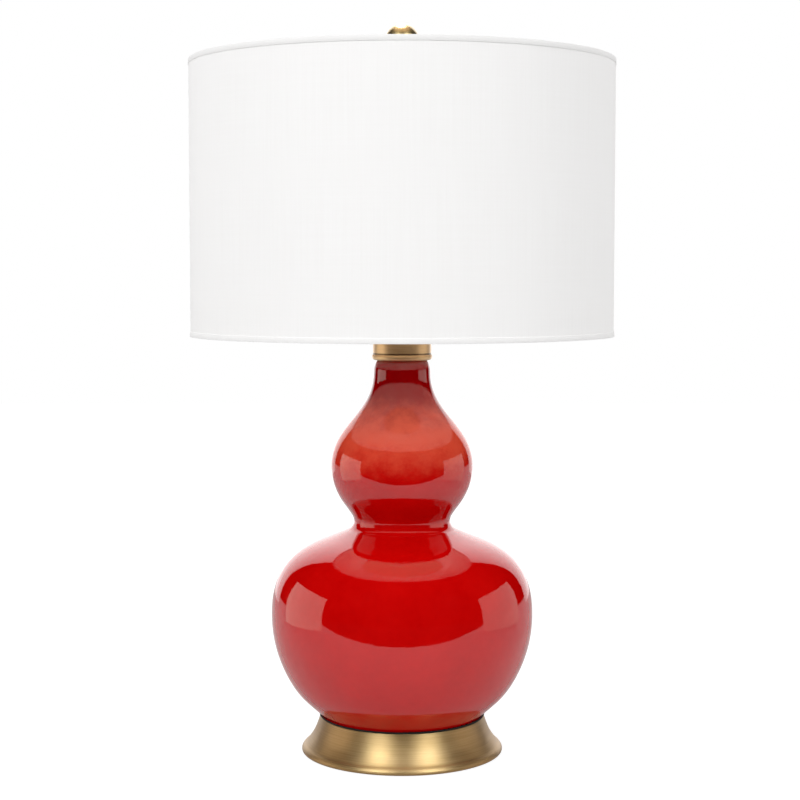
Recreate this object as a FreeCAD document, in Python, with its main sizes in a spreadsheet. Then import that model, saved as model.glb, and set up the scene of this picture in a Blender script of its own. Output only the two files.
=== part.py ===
import FreeCAD, Part
import math
import os
from types import SimpleNamespace

import Sketcher
from FreeCAD import Placement, Rotation, Vector

# A table lamp: red glazed double-gourd body on a spun brass base, under a white drum shade.
# +Z is up, the origin is on the floor at the lamp's axis, the front is -Y. Millimetres.

SIZES = {
    # Base, from the floor up
    "FeltThickness": 1.6,
    "PlateThickness": 1.4,
    "SkirtLift": 0.6,  # brass edge above the floor
    "SkirtHeight": 34.9,  # brass edge to lip
    "SkirtWall": 1.6,
    "SkirtFootRadius": 96.6,
    "SkirtRollHeight": 4.2,
    "SkirtRollRadius": 97.2,
    "SkirtRollBulge": 1.2,
    "SkirtShoulderRadius": 84.7,
    "SkirtShoulderDrop": 13.5,  # lip down to the top of the cove
    "SkirtCoveRise": 1.1,
    "LipRadius": 80.0,
    "LipDepth": 2.5,  # lip down to the deck
    "LipRound": 0.4,
    "WeightRadius": 65.0,
    "WeightThickness": 12.0,
    "WeightRound": 2.0,
    "BushingDrop": 12.0,  # bushing axis below the deck
    "BushingRadius": 6.0,
    "BushingBore": 3.5,
    "BushingFlangeRadius": 8.0,
    "BushingFlangeThickness": 2.0,
    "BushingGrip": 0.9,  # flange to the inside of the skirt
    "BushingStandout": 6.0,
    # Rod and its nuts
    "RodRadius": 4.95,
    "RodBore": 3.25,
    "RodTail": 4.0,
    "WasherRadius": 14.0,
    "WasherThickness": 1.6,
    "NutAcrossFlats": 17.0,
    "NutThickness": 5.0,
    "CapNutThickness": 3.0,
    # Gourd: radii of the outline, and the rise from each ring to the next
    "GasketThickness": 3.8,
    "GasketWidth": 14.0,
    "GourdWall": 5.0,
    "GourdFloor": 6.0,
    "FootRadius": 79.2,
    "FootRound": 1.0,
    "HipRadius": 101.0,
    "HipRise": 21.9,
    "BellyLowRadius": 121.6,
    "BellyLowRise": 39.7,
    "BellyRadius": 127.1,
    "BellyRise": 39.6,
    "BellyHighRadius": 125.0,
    "BellyHighRise": 20.0,
    "BellyShoulderRadius": 110.5,
    "BellyShoulderRise": 29.4,
    "BellyTopRadius": 83.8,
    "BellyTopRise": 18.6,
    "WaistRadius": 46.9,
    "WaistRise": 21.2,
    "WaistRound": 9.5,
    "GlobeLowRadius": 58.3,
    "GlobeLowRise": 19.2,
    "GlobeRadius": 69.2,
    "GlobeRise": 30.6,
    "GlobeShoulderRadius": 63.1,
    "GlobeShoulderRise": 28.0,
    "SlopeRadius": 41.6,
    "SlopeRise": 29.3,
    "NeckRadius": 27.5,
    "NeckRise": 37.7,
    "NeckTopRadius": 24.2,
    "NeckTopRise": 11.1,
    "NeckBore": 18.0,
    "NeckBoreDepth": 16.0,
    "PlugLength": 8.0,
    # Brass cap on the neck
    "CapHeight": 20.0,
    "CapRadius": 28.2,
    "CapWall": 1.2,
    "CapSeatWidth": 4.0,
    "CapTopRound": 1.5,
    "BeadRadius": 29.15,
    "BeadHeight": 5.4,
    # Harp and its saddle
    "SaddleThickness": 1.6,
    "SaddleWidth": 12.0,
    "EarSpan": 36.0,  # lamp axis to each leg
    "EarHeight": 14.0,
    "WireRadius": 1.6,
    "HarpHeight": 241.3,  # saddle to the middle of the top run
    "HarpLegHeight": 44.0,
    "HarpBow": 57.0,
    "HarpBowLow": 100.0,
    "HarpBowHigh": 192.0,
    "HarpTopSpan": 26.0,
    "HarpBend": 16.0,
    "BossRadius": 8.0,
    "FerruleLength": 20.0,
    "FerruleWall": 1.5,
    "ShankRadius": 2.4,
    "RivetRadius": 4.0,
    "RivetThickness": 1.2,
    "CollarRadius": 8.0,
    "CollarThickness": 2.0,
    "PostRadius": 3.175,
    "PostLength": 13.5,
    # Shade
    "ShadeRadius": 203.2,
    "ShadeHeight": 261.5,
    "FabricThickness": 0.5,
    "LinerThickness": 0.8,
    "TrimHeight": 5.0,
    "TrimThickness": 0.4,
    "HemFlare": 0.5,
    "RingWireRadius": 1.5,
    "SpiderDrop": 12.3,  # shade ring down to the hub washer
    "HubRadius": 13.0,
    "HubThickness": 1.5,
    # Finial
    "FinialRadius": 16.5,
    "FinialHeight": 49.5,
    "FinialNeckRadius": 6.8,
    "FinialFootRadius": 9.0,
    "FinialFootHeight": 2.0,
    "FinialTaper": 2.5,
    "InsertRadius": 5.0,
    "InsertLength": 14.0,
    # Socket and bulb
    "SocketHubRadius": 8.0,
    "SocketHubHeight": 5.0,
    "CupWall": 0.8,
    "CupHeight": 17.0,
    "CupRound": 5.0,
    "ShellWall": 0.6,
    "ShellHeight": 48.0,
    "LinerWall": 0.8,
    "LinerStandout": 1.0,
    "LinerAir": 1.6,
    "CoreRadius": 11.5,
    "CoreHeight": 23.0,
    "CoreFlangeThickness": 2.0,
    "ThreadRadius": 13.0,
    "ThreadWall": 0.4,
    "ThreadDepth": 24.0,
    "ContactRadius": 4.0,
    "ContactHeight": 2.2,
    "SetScrewRadius": 1.5,
    "SetScrewLength": 5.0,
    "TerminalHeight": 7.0,
    "TerminalShankRadius": 1.5,
    "TerminalShankLength": 5.0,
    "TerminalHeadRadius": 2.6,
    "TerminalHeadThickness": 1.8,
    "SwitchHeight": 17.5,
    "StemRadius": 2.0,
    "StemInset": 8.0,
    "StemStandout": 12.0,
    "KnobRadius": 5.5,
    "KnobLength": 13.0,
    "KnobStandoff": 2.5,
    "TipRadius": 4.5,
    "TipThickness": 1.5,
    "TipStemRadius": 1.5,
    "TipStemLength": 2.5,
    "InsulatorHeight": 5.5,
    "BulbCapHeight": 18.5,
    "BulbCapWall": 0.4,
    "BulbNeckLength": 5.0,
    "BulbRadius": 30.0,
    "GlassWall": 0.8,
    # Clearances
    "RodClearance": 0.15,
    "SeatClearance": 0.3,  # between a moving piece and what it rests on
    "FitClearance": 0.06,  # radial, in a running fit
    "HoleClearance": 0.5,
}

WAIST_ABOVE = math.radians(31)  # turn of the waist's arc above and below its narrowest ring
WAIST_BELOW = math.radians(65)
BULB_CONE = math.radians(25)  # slope of the bulb's neck from upright
QUARTER_RISE = 1 - math.sqrt(0.5)  # height of a quarter arc over its chord, per unit radius
SPIDER_ARMS = 3
HEX_CORNERS = 6
FRONT, REAR = -1, 1

doc = FreeCAD.newDocument("lamp")
sheet = doc.addObject("Spreadsheet::Sheet", "Sizes")
for row, (name, value) in enumerate(SIZES.items(), start=1):
    sheet.set(f"A{row}", name)
    sheet.set(f"B{row}", str(value))
    sheet.setAlias(f"B{row}", name)
doc.recompute()


class Size(float):
    """A length that also carries the formula by which the sheet gives it."""

    def __new__(cls, value, formula):
        size = super().__new__(cls, value)
        size.formula = formula
        return size

    def __add__(self, other):
        return Size(float(self) + other, f"({self.formula} + {formula_of(other)})")

    def __radd__(self, other):
        return Size(other + float(self), f"({formula_of(other)} + {self.formula})")

    def __sub__(self, other):
        return Size(float(self) - other, f"({self.formula} - {formula_of(other)})")

    def __rsub__(self, other):
        return Size(other - float(self), f"({formula_of(other)} - {self.formula})")

    def __mul__(self, other):
        return Size(float(self) * other, f"({self.formula} * {formula_of(other)})")

    __rmul__ = __mul__

    def __truediv__(self, other):
        return Size(float(self) / other, f"({self.formula} / {formula_of(other)})")

    def __neg__(self):
        return Size(-float(self), f"(0 - {self.formula})")


def formula_of(value):
    return value.formula if isinstance(value, Size) else repr(float(value))


def root(value):
    return Size(math.sqrt(value), f"sqrt({formula_of(value)})")


def least(one, other):
    return Size(min(one, other), f"min({formula_of(one)}; {formula_of(other)})")


size = SimpleNamespace(**{name: Size(getattr(sheet, name), f"Sizes.{name}") for name in SIZES})

# ---------------------------------------------------------------- heights, from the floor up

plate_top = size.FeltThickness + size.PlateThickness
lip_top = size.SkirtLift + size.SkirtHeight
deck_top = lip_top - size.LipDepth
deck_under = deck_top - size.SkirtWall
weight_under = deck_under - size.WeightThickness
washer_under = weight_under - size.WasherThickness
base_nut_under = washer_under - size.NutThickness
rod_bottom = base_nut_under - size.RodTail
bushing_height = deck_top - size.BushingDrop
skirt_shoulder = lip_top - size.SkirtShoulderDrop
foot = deck_top + size.GasketThickness
hip = foot + size.HipRise
belly_low = hip + size.BellyLowRise
belly = belly_low + size.BellyRise
belly_high = belly + size.BellyHighRise
belly_shoulder = belly_high + size.BellyShoulderRise
belly_top = belly_shoulder + size.BellyTopRise
waist = belly_top + size.WaistRise
globe_low = waist + size.GlobeLowRise
globe = globe_low + size.GlobeRise
globe_shoulder = globe + size.GlobeShoulderRise
slope = globe_shoulder + size.SlopeRise
neck = slope + size.NeckRise
neck_top = neck + size.NeckTopRise
cap_top = neck_top + size.CapHeight
saddle_under = cap_top + size.CapNutThickness
saddle_top = saddle_under + size.SaddleThickness
ear_top = saddle_top + size.EarHeight
leg_bottom = ear_top + size.SeatClearance
harp_top = saddle_top + size.HarpHeight
boss_top = harp_top + size.WireRadius
boss_under = harp_top - size.WireRadius
collar_under = boss_top + size.SeatClearance
collar_top = collar_under + size.CollarThickness
post_top = collar_top + size.PostLength
hub_under = collar_top + size.SeatClearance
hub_top = hub_under + size.HubThickness
ring_height = hub_under + size.HubThickness / 2 + size.SpiderDrop
shade_top = ring_height + size.RingWireRadius + size.TrimThickness
shade_bottom = shade_top - size.ShadeHeight
finial_under = hub_top + size.SeatClearance
finial_top = finial_under + size.FinialHeight
cup_floor = saddle_top + size.SocketHubHeight + size.CupWall
core_top = cup_floor + size.CoreHeight
contact_top = core_top + size.ContactHeight
tip_under = contact_top + size.SeatClearance
tip_top = tip_under + size.TipThickness
insulator_under = tip_top + size.SeatClearance
bulb_cap_under = insulator_under + size.InsulatorHeight
bulb_cap_top = bulb_cap_under + size.BulbCapHeight
glass_cone = bulb_cap_top + size.BulbNeckLength
shell_under = saddle_top + size.SocketHubHeight + size.CupRound
shell_top = shell_under + size.ShellHeight
switch_height = cup_floor + size.SwitchHeight

# ---------------------------------------------------------------- radii, from the axis out

rod_hole = size.RodRadius + size.RodClearance
lip_inner = size.LipRadius - size.SkirtWall
foot_inner = size.SkirtFootRadius - size.SkirtWall
shoulder_inner = size.SkirtShoulderRadius - size.SkirtWall
gasket_radius = lip_inner - size.RodClearance
thread_inner = size.ThreadRadius + size.FitClearance
thread_outer = thread_inner + size.ThreadWall
liner_inner = thread_outer + size.LinerAir
liner_outer = liner_inner + size.LinerWall
shell_outer = liner_outer + size.ShellWall
cup_outer = shell_outer + size.CupWall
fabric_inner = size.ShadeRadius - size.FabricThickness
shade_inner = fabric_inner - size.LinerThickness
ring_radius = shade_inner - size.RingWireRadius
wire_hole = size.WireRadius + size.FitClearance
stem_hole = size.StemRadius + size.FitClearance
stem_opening = size.StemRadius + size.HoleClearance
hub_hole = size.PostRadius + size.SeatClearance

# ---------------------------------------------------------------- ways of making a piece


def bind(feature, **sizes):
    """Set each named property, and tie it to the sheet."""
    for name, value in sizes.items():
        path = name.replace("__", ".")
        if "." not in path:
            setattr(feature, path, float(value))
        feature.setExpression(path, formula_of(value))


def plane(body, role):
    return next(item for item in body.Origin.OriginFeatures if item.Role == role)


def new_body(label):
    body = doc.addObject("PartDesign::Body", label)
    body.Label = label
    return body


def new_sketch(body, role, height=None):
    sketch = body.newObject("Sketcher::SketchObject", f"{body.Label}_sketch")
    sketch.AttachmentSupport = [(plane(body, role), "")]
    sketch.MapMode = "FlatFace"
    if height is not None:
        sketch.AttachmentOffset = Placement(Vector(0, 0, height), Rotation())
        bind(sketch, AttachmentOffset__Base__z=height)
    return sketch


def pin(sketch, geometry, position, across, up):
    """Hold one point of a sketch at its two sizes."""
    for kind, value, axis in (("DistanceX", across, -2), ("DistanceY", up, -1)):
        if float(value) == 0:
            sketch.addConstraint(Sketcher.Constraint("PointOnObject", geometry, position, axis))
            continue
        index = sketch.addConstraint(
            Sketcher.Constraint(kind, -1, 1, geometry, position, float(value))
        )
        sketch.setExpression(f"Constraints[{index}]", formula_of(value))


def draw(sketch, outline):
    """Draw a closed outline. Each corner is (across, up). A corner that is reached by an arc
    also gives the arc's middle: (across, up, middle across, middle up)."""
    ends = []
    for start, end in zip(outline[-1:] + outline[:-1], outline):
        first = Vector(start[0], start[1], 0)
        last = Vector(end[0], end[1], 0)
        if len(end) == 2:
            edge = sketch.addGeometry(Part.LineSegment(first, last))
        else:
            middle = Vector(end[2], end[3], 0)
            edge = sketch.addGeometry(Part.Arc(first, middle, last))
            point = sketch.addGeometry(Part.Point(middle), True)
            sketch.addConstraint(Sketcher.Constraint("PointOnObject", point, 1, edge))
            pin(sketch, point, 1, end[2], end[3])
        forward = sketch.getPoint(edge, 2).distanceToPoint(last) < 1e-6
        ends.append((edge, 1, 2) if forward else (edge, 2, 1))
        pin(sketch, edge, ends[-1][2], end[0], end[1])
    for (edge, _, out), (after, into, _) in zip(ends, ends[1:] + ends[:1]):
        sketch.addConstraint(Sketcher.Constraint("Coincident", edge, out, after, into))


def draw_circle(sketch, radius, across=0, up=0):
    centre = Vector(across, up, 0)
    edge = sketch.addGeometry(Part.Circle(centre, Vector(0, 0, 1), radius))
    pin(sketch, edge, 3, across, up)
    index = sketch.addConstraint(Sketcher.Constraint("Radius", edge, float(radius)))
    sketch.setExpression(f"Constraints[{index}]", formula_of(radius))


def bow(start, end, rise):
    """The corner `end`, reached from `start` by an arc that rises to the left of its chord."""
    across = end[0] - start[0]
    up = end[1] - start[1]
    chord = root(across * across + up * up)
    middle_across = (start[0] + end[0]) / 2 - up * rise / chord
    middle_up = (start[1] + end[1]) / 2 + across * rise / chord
    return (end[0], end[1], middle_across, middle_up)


def turned(label, outline):
    """A piece turned about the lamp's axis from its half section."""
    body = new_body(label)
    sketch = new_sketch(body, "XZ_Plane")
    draw(sketch, outline)
    turn = body.newObject("PartDesign::Revolution", f"{label}_turn")
    turn.Profile = sketch
    turn.ReferenceAxis = (sketch, ["V_Axis"])
    turn.Angle = 360
    doc.recompute()
    return body


def ring(label, inner, outer, bottom, top):
    return turned(label, [(inner, bottom), (outer, bottom), (outer, top), (inner, top)])


def disc(label, radius, bottom, top):
    return turned(label, [(0, bottom), (radius, bottom), (radius, top), (0, top)])


def pad(body, bottom, thickness, outlines=(), circles=()):
    """Raise outlines and circles (radius, across, up) from a height above the floor."""
    sketch = new_sketch(body, "XY_Plane", bottom)
    for outline in outlines:
        draw(sketch, outline)
    for circle in circles:
        draw_circle(sketch, *circle)
    raised = body.newObject("PartDesign::Pad", f"{body.Label}_pad")
    raised.Profile = sketch
    bind(raised, Length=thickness)
    doc.recompute()
    return body


def drill(body, role, radius, height, reverse=False, both=False):
    """Drill from the lamp's axis out through one side of a piece, or through both."""
    before = body.Shape.Volume
    sketch = new_sketch(body, role)
    draw_circle(sketch, radius, 0, height)
    hole = body.newObject("PartDesign::Pocket", f"{body.Label}_hole")
    hole.Profile = sketch
    hole.Type = "ThroughAll"
    hole.Reversed = reverse
    hole.Midplane = both
    doc.recompute()
    if body.Shape.Volume >= before:
        raise ValueError(f"the hole in {body.Label} cuts nothing")
    return body


def hex_nut(label, bottom, thickness):
    corner_radius = size.NutAcrossFlats / math.sqrt(3)
    corners = []
    for number in range(HEX_CORNERS):
        angle = math.pi / 12 + number * 2 * math.pi / HEX_CORNERS
        corners.append((corner_radius * math.cos(angle), corner_radius * math.sin(angle)))
    return pad(new_body(label), bottom, thickness, [corners], [(size.RodRadius, 0, 0)])


def rod_along(label, role, radius, start, end, height, across=0):
    """A round bar that lies along X or Y, from start to end out from the lamp's axis."""
    bar = doc.addObject("Part::Cylinder", label)
    bar.Label = label
    if role == "X":
        bar.Placement = Placement(Vector(0, 0, 0), Rotation(Vector(0, 1, 0), 90))
        bind(bar, Placement__Base__x=start, Placement__Base__z=height)
    else:
        bar.Placement = Placement(Vector(0, 0, 0), Rotation(Vector(1, 0, 0), -90))
        bind(bar, Placement__Base__y=start, Placement__Base__z=height)
    bind(bar, Radius=radius, Height=end - start)
    return bar


def fuse(label, members):
    joined = doc.addObject("Part::MultiFuse", label)
    joined.Label = label
    joined.Shapes = members
    return joined


def cut(label, base, tool):
    left = doc.addObject("Part::Cut", label)
    left.Label = label
    left.Base = base
    left.Tool = tool
    return left


def group(label, members):
    """Separate solids that share one name."""
    together = doc.addObject("Part::Compound", label)
    together.Label = label
    together.Links = members
    return together


def shaped(label, shape):
    """A piece whose curved surfaces are worked out here from the sizes."""
    feature = doc.addObject("Part::Feature", label)
    feature.Label = label
    feature.Shape = shape
    feature.Placement = Placement()
    return feature


def spin(shape):
    """Turn a flat section in the XZ plane about the lamp's axis."""
    return Part.Face(shape).revolve(Vector(0, 0, 0), Vector(0, 0, 1), 360)


def at(radius, height):
    return Vector(radius, 0, height)


# ---------------------------------------------------------------- base


def felt_pad():
    return disc("felt_pad", foot_inner, Size(0, "0"), size.FeltThickness)


def base_plate():
    return disc("base_plate", foot_inner, size.FeltThickness, plate_top)


def base_skirt():
    """Spun brass: a rolled foot, a cove, a straight taper to the lip, and a deck inside it."""
    roll_top = size.SkirtLift + size.SkirtRollHeight
    edge = (size.SkirtFootRadius, size.SkirtLift)
    roll = (size.SkirtRollRadius, roll_top)
    shoulder = (size.SkirtShoulderRadius, skirt_shoulder)
    inner_roll = (foot_inner, roll_top)
    inner_shoulder = (shoulder_inner, skirt_shoulder)
    skirt = turned(
        "base_skirt",
        [
            edge,
            bow(edge, roll, -size.SkirtRollBulge),
            bow(roll, shoulder, size.SkirtCoveRise),
            (size.LipRadius, lip_top - size.LipRound),
            (size.LipRadius - size.LipRound, lip_top),
            (lip_inner, lip_top),
            (lip_inner, deck_top),
            (rod_hole, deck_top),
            (rod_hole, deck_under),
            (lip_inner, deck_under),
            inner_shoulder,
            bow(inner_shoulder, inner_roll, -size.SkirtCoveRise),
            (foot_inner, size.SkirtLift),
        ],
    )
    return drill(skirt, "XZ_Plane", size.BushingRadius, bushing_height)


def base_weight():
    inner, outer = rod_hole, size.WeightRadius
    low = (outer - size.WeightRound, weight_under)
    side = (outer, weight_under + size.WeightRound)
    return turned(
        "base_weight",
        [
            (inner, weight_under),
            low,
            bow(low, side, -size.WeightRound * QUARTER_RISE),
            (outer, deck_under),
            (inner, deck_under),
        ],
    )


def base_washer():
    return ring("base_washer", rod_hole, size.WasherRadius, washer_under, weight_under)


def base_lock_nut():
    return hex_nut("base_lock_nut", base_nut_under, size.NutThickness)


def base_gasket():
    return ring("base_gasket", gasket_radius - size.GasketWidth, gasket_radius, deck_top, foot)


def cord_bushing():
    """A flanged tube through the rear of the skirt, where the flex comes in."""
    taper = (shoulder_inner - lip_inner) / (deck_under - skirt_shoulder)
    below_deck = deck_under - bushing_height - size.BushingFlangeRadius
    wall = least(lip_inner + below_deck * taper, shoulder_inner)
    inside = wall - size.BushingGrip - size.BushingFlangeThickness
    outside = size.SkirtShoulderRadius + size.BushingStandout
    barrel = rod_along("bushing_barrel", "Y", size.BushingRadius, inside, outside, bushing_height)
    flange_end = inside + size.BushingFlangeThickness
    flange = rod_along(
        "bushing_flange", "Y", size.BushingFlangeRadius, inside, flange_end, bushing_height
    )
    bore = rod_along("bushing_bore", "Y", size.BushingBore, inside, outside, bushing_height)
    return cut("cord_bushing", fuse("bushing_outside", [barrel, flange]), bore)


def threaded_rod():
    return ring("threaded_rod", size.RodBore, size.RodRadius, rod_bottom, cup_floor)


# ---------------------------------------------------------------- gourd and cap


def gourd_outline():
    """The glazed outline from the neck's rim down to the foot, as curves that run on smoothly,
    with the points that the wall's inner face follows."""
    upper_rings = [
        at(size.NeckRadius, neck),
        at(size.SlopeRadius, slope),
        at(size.GlobeShoulderRadius, globe_shoulder),
        at(size.GlobeRadius, globe),
        at(size.GlobeLowRadius, globe_low),
    ]
    lower_rings = [
        at(size.BellyTopRadius, belly_top),
        at(size.BellyShoulderRadius, belly_shoulder),
        at(size.BellyHighRadius, belly_high),
        at(size.BellyRadius, belly),
        at(size.BellyLowRadius, belly_low),
        at(size.HipRadius, hip),
        at(size.FootRadius, foot + size.FootRound),
    ]
    waist_centre = at(size.WaistRadius + size.WaistRound, waist)

    def on_waist(angle):
        return waist_centre + at(-math.cos(angle), math.sin(angle)) * size.WaistRound

    narrows = Part.Arc(on_waist(WAIST_ABOVE), on_waist(0), on_waist(-WAIST_BELOW))
    upper_rings.append(on_waist(WAIST_ABOVE))
    lower_rings.insert(0, on_waist(-WAIST_BELOW))
    upper = Part.BSplineCurve()
    upper.interpolate(
        Points=upper_rings,
        InitialTangent=at(0, -1),
        FinalTangent=at(-math.sin(WAIST_ABOVE), -math.cos(WAIST_ABOVE)),
    )
    foot_slope = (lower_rings[-1] - lower_rings[-2]).normalize()
    lower = Part.BSplineCurve()
    lower.interpolate(
        Points=lower_rings,
        InitialTangent=at(math.sin(WAIST_BELOW), -math.cos(WAIST_BELOW)),
        FinalTangent=foot_slope,
    )
    return upper, upper_rings[1:-1], narrows, on_waist(0), lower, lower_rings[1:-2]


def inward(curve, point, wall):
    """The point one wall thickness in from a point of the outline."""
    tangent = curve.tangent(curve.parameter(point))[0]
    normal = tangent.cross(Vector(0, 1, 0)).normalize()
    return point + normal * (wall if normal.x < 0 else -wall)


def gourd_body():
    """Slip-cast body, one wall thick: a long globe over a wide belly, open at the neck."""
    upper, upper_rings, narrows, narrowest, lower, lower_rings = gourd_outline()
    shoulder = at(size.NeckRadius, neck)
    rim = at(size.NeckTopRadius, neck_top)
    rise, step = rim.z - shoulder.z, shoulder.x - rim.x
    round_radius = (rise * rise + step * step) / (2 * step)
    turn = math.asin(rise / round_radius) / 2
    middle = shoulder + at(round_radius * (math.cos(turn) - 1), round_radius * math.sin(turn))
    foot_side = at(size.FootRadius, foot + size.FootRound)
    foot_edge = at(size.FootRadius - size.FootRound, foot)
    foot_middle = at(
        size.FootRadius - size.FootRound * QUARTER_RISE, foot + size.FootRound * QUARTER_RISE
    )
    bore_top = at(size.NeckBore, neck_top)
    bore_bottom = at(size.NeckBore, neck_top - size.NeckBoreDepth)
    floor_edge = at(size.FootRadius - size.GourdWall, foot + size.GourdFloor)
    inside_points = [bore_bottom]
    inside_points += [inward(upper, point, size.GourdWall) for point in upper_rings]
    inside_points.append(narrowest - at(size.GourdWall, 0))
    inside_points += [inward(lower, point, size.GourdWall) for point in lower_rings]
    inside_points.append(floor_edge)
    inside = Part.BSplineCurve()
    inside.interpolate(Points=inside_points)
    floor_hole = at(rod_hole, foot + size.GourdFloor)
    foot_hole = at(rod_hole, foot)
    edges = [
        Part.LineSegment(foot_hole, foot_edge),
        Part.Arc(foot_edge, foot_middle, foot_side),
        lower,
        narrows,
        upper,
        Part.Arc(shoulder, middle, rim),
        Part.LineSegment(rim, bore_top),
        Part.LineSegment(bore_top, bore_bottom),
        inside,
        Part.LineSegment(floor_edge, floor_hole),
        Part.LineSegment(floor_hole, foot_hole),
    ]
    section = Part.Wire(Part.__sortEdges__([edge.toShape() for edge in edges]))
    return shaped("gourd_body", spin(section))


def neck_plug():
    return ring("neck_plug", size.RodRadius, size.NeckBore, neck_top - size.PlugLength, neck_top)


def vase_cap():
    """Spun brass cap with a rolled bead round its mouth, seated on the neck's rim."""
    wall = size.CapWall
    bead_round = size.BeadHeight / 2
    bead_low = (size.BeadRadius - bead_round, neck_top)
    bead_top = neck_top + size.BeadHeight
    round_low = (size.CapRadius, cap_top - size.CapTopRound)
    round_high = (size.CapRadius - size.CapTopRound, cap_top)
    return turned(
        "vase_cap",
        [
            (size.NeckTopRadius - size.CapSeatWidth, neck_top),
            bead_low,
            (size.CapRadius, bead_top, size.BeadRadius, neck_top + bead_round),
            round_low,
            bow(round_low, round_high, -size.CapTopRound * QUARTER_RISE),
            (rod_hole, cap_top),
            (rod_hole, cap_top - wall),
            (size.CapRadius - wall, cap_top - wall),
            (size.CapRadius - wall, neck_top + wall),
            (size.NeckTopRadius - size.CapSeatWidth, neck_top + wall),
        ],
    )


def cap_nut():
    return hex_nut("cap_nut", cap_top, size.CapNutThickness)


# ---------------------------------------------------------------- harp


def harp_saddle():
    """A flat strip across the lamp with a round ear standing at each end."""
    half = size.SaddleWidth / 2
    span = size.EarSpan
    strip = [
        (-span, -half),
        (span, -half),
        (span, half, span + half, 0),
        (-span, half),
        (-span, -half, -span - half, 0),
    ]
    saddle = new_body("harp_saddle")
    pad(saddle, saddle_under, size.SaddleThickness, [strip[1:]], [(rod_hole, 0, 0)])
    ears = [(size.WireRadius, side * span, 0) for side in (-1, 1)]
    return pad(saddle, saddle_top, size.EarHeight, circles=ears)


def rounded_path(corners, radius):
    """Straight runs through the corners, with an arc in each corner that touches both runs."""
    edges = []
    start = corners[0]
    for before, corner, after in zip(corners, corners[1:], corners[2:]):
        back = (before - corner).normalize()
        ahead = (after - corner).normalize()
        half_turn = (math.pi - back.getAngle(ahead)) / 2
        trim = radius * math.tan(half_turn)
        first, last = corner + back * trim, corner + ahead * trim
        bisector = (back + ahead).normalize()
        middle = corner + bisector * (radius / math.cos(half_turn) - radius)
        edges.append(Part.LineSegment(start, first).toShape())
        edges.append(Part.Arc(first, middle, last).toShape())
        start = last
    edges.append(Part.LineSegment(start, corners[-1]).toShape())
    return Part.Wire(edges)


def harp_wire():
    """Bent wire: two upright legs that bow out round the bulb and meet in a flat top."""
    side = [
        at(size.EarSpan, leg_bottom),
        at(size.EarSpan, saddle_top + size.HarpLegHeight),
        at(size.HarpBow, saddle_top + size.HarpBowLow),
        at(size.HarpBow, saddle_top + size.HarpBowHigh),
        at(size.HarpTopSpan, harp_top),
    ]
    mirrored = [Vector(-point.x, 0, point.z) for point in reversed(side)]
    path = rounded_path(side + mirrored, size.HarpBend)
    section = Part.Wire(Part.Circle(side[0], Vector(0, 0, 1), size.WireRadius).toShape())
    wire = path.makePipeShell([section], True, False)
    boss = Part.makeCylinder(size.BossRadius, boss_top - boss_under, at(0, boss_under))
    hole = Part.makeCylinder(
        size.ShankRadius + size.FitClearance, boss_top - boss_under, at(0, boss_under)
    )
    return shaped("harp_wire", wire.fuse(boss).cut(hole))


def ferrule(label, side):
    """A sleeve that slides down a leg of the harp and locks it on its ear."""
    bottom = saddle_top + size.SeatClearance
    outer = size.WireRadius + size.FitClearance + size.FerruleWall
    across = side * size.EarSpan
    return pad(
        new_body(label),
        bottom,
        size.FerruleLength,
        circles=[(outer, across, 0), (wire_hole, across, 0)],
    )


def harp_stud():
    """The swivel at the harp's top: a rivet below, a collar and a threaded post above."""
    rivet_top = boss_under - size.SeatClearance
    rivet_under = rivet_top - size.RivetThickness
    return turned(
        "harp_stud",
        [
            (0, rivet_under),
            (size.RivetRadius, rivet_under),
            (size.RivetRadius, rivet_top),
            (size.ShankRadius, rivet_top),
            (size.ShankRadius, collar_under),
            (size.CollarRadius, collar_under),
            (size.CollarRadius, collar_top),
            (size.PostRadius, collar_top),
            (size.PostRadius, post_top),
            (0, post_top),
        ],
    )


# ---------------------------------------------------------------- shade


def shade_fabric():
    return ring(
        "shade_fabric",
        fabric_inner,
        size.ShadeRadius,
        shade_bottom + size.TrimThickness,
        shade_top - size.TrimThickness,
    )


def shade_liner():
    return ring(
        "shade_liner",
        shade_inner,
        fabric_inner,
        shade_bottom + size.TrimThickness,
        shade_top - size.TrimThickness,
    )


def hem(label, edge, inward_step, flare):
    """A folded strip over one edge of the fabric. inward_step points from the edge into it."""
    outer = size.ShadeRadius + size.TrimThickness
    lip = edge + size.TrimThickness * inward_step
    end = edge + size.TrimHeight * inward_step
    return turned(
        label,
        [
            (shade_inner, edge),
            (outer + flare, edge),
            (outer, end),
            (size.ShadeRadius, end),
            (size.ShadeRadius, lip),
            (shade_inner, lip),
        ],
    )


def shade_spider():
    """The top ring, with arms that drop to the washer that sits on the harp."""
    hub_middle = at(0, hub_under + size.HubThickness / 2)
    top_ring = Part.makeTorus(ring_radius, size.RingWireRadius, at(0, ring_height))
    hub = Part.makeCylinder(size.HubRadius, size.HubThickness, at(0, hub_under))
    arm_root = (size.HubRadius + size.CollarRadius) / 2
    arms = []
    for number in range(SPIDER_ARMS):
        turn = Rotation(Vector(0, 0, 1), 90 + number * 360 / SPIDER_ARMS)
        start = hub_middle + turn * at(arm_root, 0)
        end = turn * at(ring_radius, ring_height)
        arms.append(
            Part.makeCylinder(size.RingWireRadius, (end - start).Length, start, end - start)
        )
    hole = Part.makeCylinder(hub_hole, size.HubThickness, at(0, hub_under))
    return shaped("shade_spider", hub.fuse(arms + [top_ring]).cut(hole))


def bottom_ring():
    height = shade_bottom + size.TrimThickness + size.RingWireRadius
    torus = doc.addObject("Part::Torus", "bottom_ring")
    torus.Label = "bottom_ring"
    bind(torus, Radius1=ring_radius, Radius2=size.RingWireRadius, Placement__Base__z=height)
    return torus


# ---------------------------------------------------------------- finial


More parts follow.
